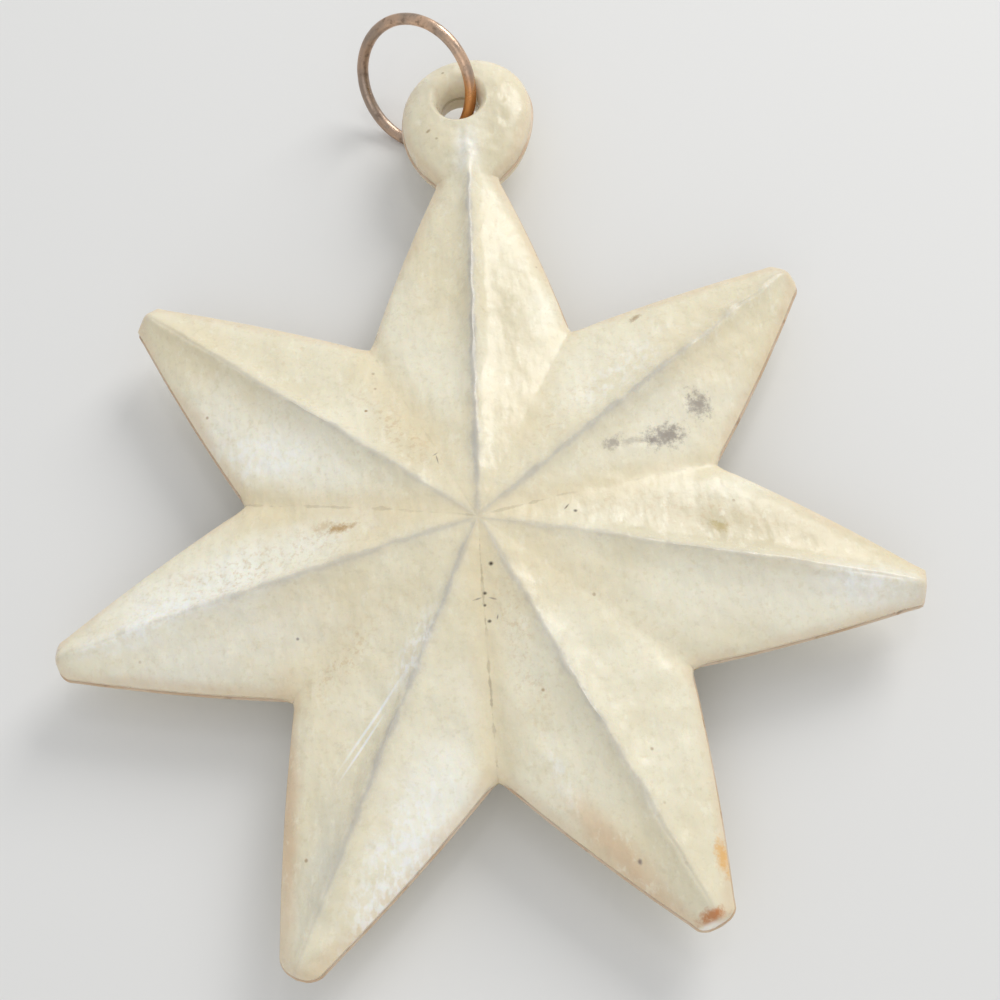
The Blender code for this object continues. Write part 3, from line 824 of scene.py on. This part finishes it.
def celluloidFinish(name, shift, broad, spots, fine):
    material, tree, shader = newFinish(name, celluloid["constants"])

    def noise(scale, detail, roughness, more=0.0, stretch=None):
        return noiseField(tree, scale, detail, roughness, stretch, shift + more)

    def fading(value, width, strong):
        return ranged(tree, value, 0.0, width, strong, 0.0)

    def times(first, second):
        return calc(tree, "MULTIPLY", first, second)

    # body colour, with broad tones under fine ageing
    colour = veiled(tree, celluloid["cream"], celluloid["pale"], noise(150, 2.5, 0.5), 0.32, 0.68, 0.65)
    colour = veiled(tree, colour, celluloid["warm"], noise(85, 2.0, 0.5, 3.1), 0.45, 0.7, 0.5)
    drift = noise(300, 4.0, 0.65, 4.0)
    for *spot, tint, strong in broad:
        away = strayed(tree, spotShare(tree, *spot), drift, 1.2)
        colour = tinted(tree, ranged(tree, away, 0.1, 1.35, strong, 0.0), colour, celluloid[tint])
    colour = veiled(tree, colour, celluloid["deep"], noise(420, 5.0, 0.7, 6.3), 0.5, 0.74, 0.2)
    flecked = noise(1500, 4.0, 0.65, 0.0, (1.0, 0.55, 1.0))
    colour = veiled(tree, colour, celluloid["pale"], flecked, 0.54, 0.68, 0.45)
    colour = veiled(tree, colour, celluloid["deep"], noise(2600, 3.0, 0.6, 2.7), 0.52, 0.7, 0.28)

    # crests grey with wear and painted shade, a tanned rim and dirt in the valleys
    crest = strayed(tree, surfaceValue(tree, "ridgeGap"), noise(800, 4.0, 0.65, 8.0), wear["crestStray"])
    worn = calc(tree, "ADD", *[fading(crest, *band) for band in wear["crestWidths"]])
    worn = times(worn, surfaceValue(tree, "crestWearAndShade"))
    worn = times(worn, ranged(tree, surfaceValue(tree, "tipward"), *wear["crestTip"]))
    worn = times(worn, ranged(tree, surfaceValue(tree, "dome"), *wear["crestBead"]))
    colour = tinted(tree, worn, colour, celluloid["rubbed"])
    edge = strayed(tree, surfaceValue(tree, "rimGap"), noise(130, 5.0, 0.6), wear["rimStray"])
    colour = tinted(tree, fading(edge, wear["rimWidth"], wear["rimStrength"]), colour, celluloid["rimTan"])
    valley = surfaceValue(tree, "valleyGap")
    dirt = surfaceValue(tree, "dirt")
    line = fading(strayed(tree, valley, noise(1100, 3.0, 0.6, 1.7), wear["lineStray"]), wear["lineWidth"], 1.0)
    broken = ranged(tree, noise(420, 3.0, 0.6, 5.0), 0.4, 0.62, 0.1, 1.0)
    line = times(times(line, broken), times(dirt, dirt))
    halo = times(fading(valley, wear["haloWidth"], wear["haloStrength"]), dirt)
    colour = tinted(tree, halo, colour, celluloid["warm"])
    colour = tinted(tree, times(line, wear["lineStrength"]), colour, celluloid["dirt"])

    # specks, single marks, patches of flecks of age and white flecks of painted highlight
    values = {"Vector": objectPoint(tree), "Scale": wear["speckScale"]}
    specks = addNode(tree, "ShaderNodeTexVoronoi", values).outputs["Distance"]
    chance = ranged(tree, noise(230, 2.0, 0.5, 9.0), 0.53, 0.62, 0.0, 0.6)
    colour = tinted(tree, times(ranged(tree, specks, 0.03, 0.1, 1.0, 0.0), chance), colour, brown)
    sooty = noiseField(tree, 2600, 5.0, 0.72)
    for *spot, tint, strong, loose in spots:
        away = strayed(tree, spotShare(tree, *spot), sooty, 3.2 * loose)
        colour = tinted(tree, ranged(tree, away, 0.15, 1.2, strong, 0.0), colour, tint)
    # painted highlights: white glints of gloss in the patches below
    paintedGlints = ranged(tree, noise(2600, 2.0, 0.55, 5.5, (1.0, 0.6, 1.0)), 0.4, 0.64, 0.1, 1.0)
    tanned = ranged(tree, noise(2900, 3.0, 0.6, 1.3), 0.5, 0.66, 0.0, 1.0)
    for *spot, tint, strong in fine:
        away = strayed(tree, spotShare(tree, *spot), drift, 1.4)
        inside = ranged(tree, away, 0.1, 1.2, strong, 0.0)
        colour = tinted(tree, times(inside, paintedGlints if tint == white else tanned), colour, tint)
    tree.links.new(colour, shader.inputs["Base Color"])

    # uneven gloss and a faintly rubbed, pitted skin
    sheen = ranged(tree, noise(500, 4.0, 0.65, 2.0), 0.35, 0.7, *celluloid["roughness"], "LINEAR")
    tree.links.new(sheen, shader.inputs["Roughness"])
    pits = calc(tree, "MULTIPLY_ADD", noiseField(tree, 2200, 2.0, 0.5), 0.1, noise(560, 1.0, 0.5))
    pits = calc(tree, "MULTIPLY_ADD", noise(1200, 1.5, 0.5, 0.0, (1.0, 0.45, 1.0)), 0.45, pits)
    addBump(tree, shader, *celluloid["bump"], pits)
    return material


cement = {
    "rim": ((0.7, 0.55, 0.42), (0.6, 0.43, 0.29)),  # pale and deep
    "eye": ((0.76, 0.68, 0.47), (0.62, 0.52, 0.34)),
    "grime": (0.3, 0.18, 0.1),
    "constants": {
        "Roughness": 0.42,
        "Subsurface Weight": 0.3,
        "Subsurface Radius": (1.0, 0.6, 0.35),
        "Subsurface Scale": 0.0006,
    },
    "bump": (0.3, 0.00005),
}


def cementFinish(name, pale, deep):
    material, tree, shader = newFinish(name, cement["constants"])
    patchy = noiseField(tree, 380, 4.0, 0.6)
    colour = veiled(tree, pale, deep, patchy, 0.35, 0.65, 1.0)
    colour = veiled(tree, colour, cement["grime"], noiseField(tree, 900, 3.0, 0.6, shift=4.0), 0.58, 0.72, 0.5)
    tree.links.new(colour, shader.inputs["Base Color"])
    addBump(tree, shader, *cement["bump"], patchy)
    return material


wireLook = {
    "copper": (0.66, 0.3, 0.11),
    "bronze": (0.72, 0.49, 0.34),
    "tarnish": (0.2, 0.13, 0.09),
    "grey": (0.46, 0.35, 0.27),
    # painted shade: a dark reflection on the wire's left
    "shade": (0.2, 0.16, 0.14),
    "shadeSpan": (-0.0075, -0.002),  # places across the part between which the painted shade dies away
    "shadeStray": 0.006,
    "copperReach": (0.0024, 0.0024, 0.0036),  # the wire is bare copper this near to the eye
    "roughness": (0.24, 0.5),
    "bump": (0.3, 0.00006),
}


def wireFinish(name):
    material, tree, shader = newFinish(name, {"Metallic": 1.0})
    blotch = noiseField(tree, 420, 4.0, 0.6)
    colour = veiled(tree, wireLook["bronze"], wireLook["grey"], blotch, 0.42, 0.62, 1.0)
    rubbed = noiseField(tree, 1500, 4.0, 0.65, shift=2.0)
    colour = veiled(tree, colour, wireLook["tarnish"], rubbed, 0.54, 0.72, 0.7)
    # painted shade: the wire darker towards its left
    along = addNode(tree, "ShaderNodeSeparateXYZ", {0: objectPoint(tree)}).outputs["X"]
    along = strayed(tree, along, blotch, wireLook["shadeStray"])
    colour = tinted(tree, ranged(tree, along, *wireLook["shadeSpan"], 0.5, 0.0), colour, wireLook["shade"])
    values = {0: objectPoint(tree), 1: (eyeSpot.x, eyeSpot.y, midHeight), 3: wireLook["copperReach"]}
    away = vectorLength(tree, addNode(tree, "ShaderNodeMapping", values, vector_type="TEXTURE").outputs[0])
    colour = tinted(tree, ranged(tree, away, 0.6, 1.1, 0.9, 0.0), colour, wireLook["copper"])
    tree.links.new(colour, shader.inputs["Base Color"])
    dull = ranged(tree, rubbed, 0.35, 0.7, *wireLook["roughness"], "LINEAR")
    tree.links.new(dull, shader.inputs["Roughness"])
    rough = calc(tree, "ADD", noiseField(tree, 2600, 4.0, 0.7), noiseField(tree, 900, 2.0, 0.5, shift=6.0))
    addBump(tree, shader, *wireLook["bump"], rough)
    return material


press = pressTree()
frontFinish = celluloidFinish("frontCelluloid", 0.0, tones, marks, flecksAndPaintedGlints)
backFinish = celluloidFinish("backCelluloid", 7.3, [], [], [])
frontHalf = pressHalf("frontHalf", 1.0, 0.0, frontFinish, press)
backHalf = pressHalf("backHalf", -1.0, 17.0, backFinish, press)


# cement line round the rim: a flat lens section along the outline, a little uneven
def seamTree():
    labels = ["Half Width", "Half Thickness", "Step", "Waver", "Seed"]
    tree, given = newTree("rimLine", [(label, "Float") for label in labels] + [("Material", "Material")])
    path = addNode(tree, "GeometryNodeMeshToCurve", {0: given["Geometry"]}).outputs[0]
    values = {"Curve": path, "Length": given["Step"]}
    path = addNode(tree, "GeometryNodeResampleCurve", values, mode="LENGTH").outputs[0]
    path = addNode(tree, "GeometryNodeSetCurveNormal", {"Curve": path}, mode="Z_UP").outputs[0]
    values = {"Scale": seam["waverScale"], "Detail": 2.0, "W": given["Seed"]}
    rough = addNode(tree, "ShaderNodeTexNoise", values, noise_dimensions="4D").outputs["Color"]
    centred = vectorMath(tree, "SUBTRACT", rough, (0.5, 0.5, 0.5))
    offset = vectorMath(tree, "MULTIPLY", centred, joinedVector(tree, given["Waver"], given["Waver"]))
    path = addNode(tree, "GeometryNodeSetPosition", {"Geometry": path, "Offset": offset}).outputs[0]
    values = {"Resolution": seam["sides"], "Radius": 1.0}
    section = addNode(tree, "GeometryNodeCurvePrimitiveCircle", values).outputs[0]
    scale = joinedVector(tree, given["Half Width"], given["Half Thickness"], 1.0)
    section = addNode(tree, "GeometryNodeTransform", {"Geometry": section, "Scale": scale}).outputs[0]
    line = addNode(tree, "GeometryNodeCurveToMesh", {"Curve": path, "Profile Curve": section}).outputs[0]
    closeTree(tree, line, given["Material"])
    return tree


def rimLine(material):
    inset = (seam["seat"] - seam["flash"]) / 2
    bm = bmesh.new()
    loop = []
    for index in range(star["arms"]):
        arm = makeArm(index, inset)
        rows = [u for u in armRows(makeArm(index)) if u > arm["cornerU"]] if index else []
        rows = [min(u, arm["reach"]) for u in rows]
        if index == 0:
            run = arm["endU"] - arm["cornerU"]
            rows = [arm["cornerU"] + run * k / seam["armSteps"] for k in range(1, seam["armSteps"])]
            angles = [math.pi / 2 * k / seam["beadSteps"] for k in range(seam["beadSteps"] + 1)]
            rows += [arm["endU"] + arm["endRadius"] * math.sin(angle) for angle in angles]
        loop.append(placed(arm, arm["cornerU"], edgeLine(arm, arm["cornerU"], -1)))
        loop += [placed(arm, u, edgeLine(arm, u, -1)) for u in rows]
        loop += [placed(arm, u, edgeLine(arm, u, 1)) for u in reversed(rows[:-1])]
    points = []
    for spot in loop:
        if not points or (spot - points[-1]).length > seam["closest"]:
            points.append(spot)
    verts = [bm.verts.new((spot.x, spot.y, midHeight)) for spot in points]
    for i, vert in enumerate(verts):
        bm.edges.new((vert, verts[(i + 1) % len(verts)]))
    obj = meshObject("rimLine", bm)
    values = {"Half Width": (seam["seat"] + seam["flash"]) / 2, "Half Thickness": seam["thickness"] / 2}
    values |= {"Step": seam["step"], "Waver": seam["waver"], "Seed": 4.0, "Material": material}
    runTree(obj, seamTree(), values)
    obj.data.shade_smooth()
    print("rimLine laid:", len(obj.data.polygons), "faces")
    return obj


rimCement = rimLine(cementFinish("rimCement", *cement["rim"]))
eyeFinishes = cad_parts["eye_seam"].data.materials
eyeFinishes.clear()
eyeFinishes.append(cementFinish("eyeCement", *cement["eye"]))

# hanging ring: an open turn of tarnished wire through the eye
ring = {
    "wire": 0.00082,
    "radius": 0.004465,
    "slip": 0.00044,
    "drop": 0.00012,
    "headingDeg": 145.2,
    "pitchDeg": 12.5,
    "leanDeg": 30.452,
    "buttGap": 0.0002,
    "buttAngleDeg": -115.0,
    "pitting": 0.00003,
    "pittingScale": 1500.0,
    "pittingLevel": 0.62,  # noise above this raises the wire, and below it pits it
    "turnSteps": 160,
    "sides": 20,
    "sharpDeg": 50,
}


def ringTree():
    labels = ["Ring Radius", "Wire Radius", "Start", "Sweep", "Pitting", "Seed"]
    tree, given = newTree("wireTurn", [(label, "Float") for label in labels] + [("Material", "Material")])
    values = {"Resolution": ring["turnSteps"], "Radius": given["Ring Radius"]}
    values |= {"Start Angle": given["Start"], "Sweep Angle": given["Sweep"]}
    turn = addNode(tree, "GeometryNodeCurveArc", values, mode="RADIUS").outputs[0]
    values = {"Resolution": ring["sides"], "Radius": given["Wire Radius"]}
    section = addNode(tree, "GeometryNodeCurvePrimitiveCircle", values).outputs[0]
    values = {"Curve": turn, "Profile Curve": section, "Fill Caps": True}
    wire = addNode(tree, "GeometryNodeCurveToMesh", values).outputs[0]
    normal = addNode(tree, "GeometryNodeInputNormal").outputs[0]
    values = {"Scale": ring["pittingScale"], "Detail": 3.0, "W": given["Seed"]}
    rough = addNode(tree, "ShaderNodeTexNoise", values, noise_dimensions="4D").outputs[0]
    depth = calc(tree, "MULTIPLY", calc(tree, "SUBTRACT", rough, ring["pittingLevel"]), given["Pitting"])
    offset = vectorMath(tree, "SCALE", normal, depth)
    wire = addNode(tree, "GeometryNodeSetPosition", {"Geometry": wire, "Offset": offset}).outputs[0]
    closeTree(tree, wire, given["Material"])
    return tree


def hangingRing(material):
    obj = meshObject("wireRing", bmesh.new())
    gap = ring["buttGap"] / ring["radius"]
    values = {"Ring Radius": ring["radius"], "Wire Radius": ring["wire"] / 2}
    values |= {"Start": math.radians(ring["buttAngleDeg"]) + gap / 2, "Sweep": 2 * math.pi - gap}
    values |= {"Pitting": ring["pitting"], "Seed": 2.0, "Material": material}
    runTree(obj, ringTree(), values)
    flat = Matrix.Translation((ring["radius"] - ring["slip"], 0, 0)) @ Matrix.Rotation(math.pi / 2, 4, "X")
    angles = [math.radians(angle) for angle in (ring["leanDeg"], -ring["pitchDeg"], ring["headingDeg"])]
    turned = Euler(angles, "YXZ").to_matrix().to_4x4()
    obj.data.transform(Matrix.Translation(eyeSpot + Vector((0, 0, midHeight - ring["drop"]))) @ turned @ flat)
    bm = bmesh.new()
    bm.from_mesh(obj.data)
    bmesh.ops.remove_doubles(bm, verts=bm.verts, dist=weld)
    bmesh.ops.recalc_face_normals(bm, faces=bm.faces)
    bm.to_mesh(obj.data)
    bm.free()
    obj.data.shade_smooth()
    obj.data.set_sharp_from_angle(angle=math.radians(ring["sharpDeg"]))
    print("wireRing bent:", len(obj.data.polygons), "faces")
    return obj


wireRing = hangingRing(wireFinish("tarnishedWire"))

# each piece stands for its solid and moves with its body
pieces = [
    (frontHalf, "front_shell", "star", "front_celluloid"),
    (backHalf, "back_shell", "star", "back_celluloid"),
    (rimCement, "rim_seam", "star", "rim_cement"),
    (wireRing, "hang_ring", "ring", "copper_wire"),
]
for piece, node, body, slotName in pieces:
    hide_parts(node)
    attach(piece, body)
print("pieces placed:", len(pieces))

# floor, light and camera
studio = {
    "floor": (0.8, 0.79, 0.77),
    "floorSize": 1.5,
    "floorRoughness": 0.8,
    "world": (0.96, 0.98, 1.0),
    "worldStrength": 0.615,
    "lamps": {  # place, size, level
        "key": ((0.19, 0.24, 0.21), 0.18, 0.45),
        "gloss": ((0.04, 0.11, 0.36), 0.05, 0.03),
        "low": ((-0.03, -0.29, 0.24), 0.3, 0.13),
    },
}


def softLamp(name, place, size, level):
    data = bpy.data.lights.new(name, "AREA")
    data.size = size
    distance = Vector(place).length
    data.energy = level * (math.pi * distance) ** 2  # level 1 lights a facing surface to its own colour
    lamp = bpy.data.objects.new(name, data)
    lamp.matrix_world = Matrix.Translation(place) @ Vector(place).to_track_quat("Z", "Y").to_matrix().to_4x4()
    bpy.context.collection.objects.link(lamp)


def setStage():
    bm = bmesh.new()
    bmesh.ops.create_grid(bm, x_segments=1, y_segments=1, size=studio["floorSize"])
    floor = meshObject("floor", bm)
    constants = {"Base Color": (*studio["floor"], 1.0), "Roughness": studio["floorRoughness"]}
    floor.data.materials.append(newFinish("paleFloor", constants)[0])
    world = bpy.data.worlds.new("studio")
    bpy.context.scene.world = world
    world.use_nodes = True
    back = world.node_tree.nodes["Background"]
    back.inputs[0].default_value = (*studio["world"], 1.0)
    back.inputs[1].default_value = studio["worldStrength"]
    for name, lamp in studio["lamps"].items():
        softLamp(name, *lamp)


view = {
    "lens": 54,
    "sensor": 36,
    "nearest": 0.001,
    "place": (0.005452, -0.034274, 0.089951),
    "back": (0.045, -0.3911, 0.9192),  # from the part towards the camera
    "up": (0.0887, 0.9181, 0.3863),
}


def setCamera():
    data = bpy.data.cameras.new("photoView")
    data.lens = view["lens"]
    data.sensor_width = view["sensor"]
    data.clip_start = view["nearest"]
    back = Vector(view["back"]).normalized()
    right = Vector(view["up"]).cross(back).normalized()
    up = back.cross(right)
    camera = bpy.data.objects.new("photoView", data)
    axes = Matrix((right, up, back)).transposed().to_4x4()
    camera.matrix_world = Matrix.Translation(view["place"]) @ axes
    bpy.context.collection.objects.link(camera)
    bpy.context.scene.camera = camera


setStage()
setCamera()
bpy.context.scene.view_settings.view_transform = "Standard"
print("studio set")
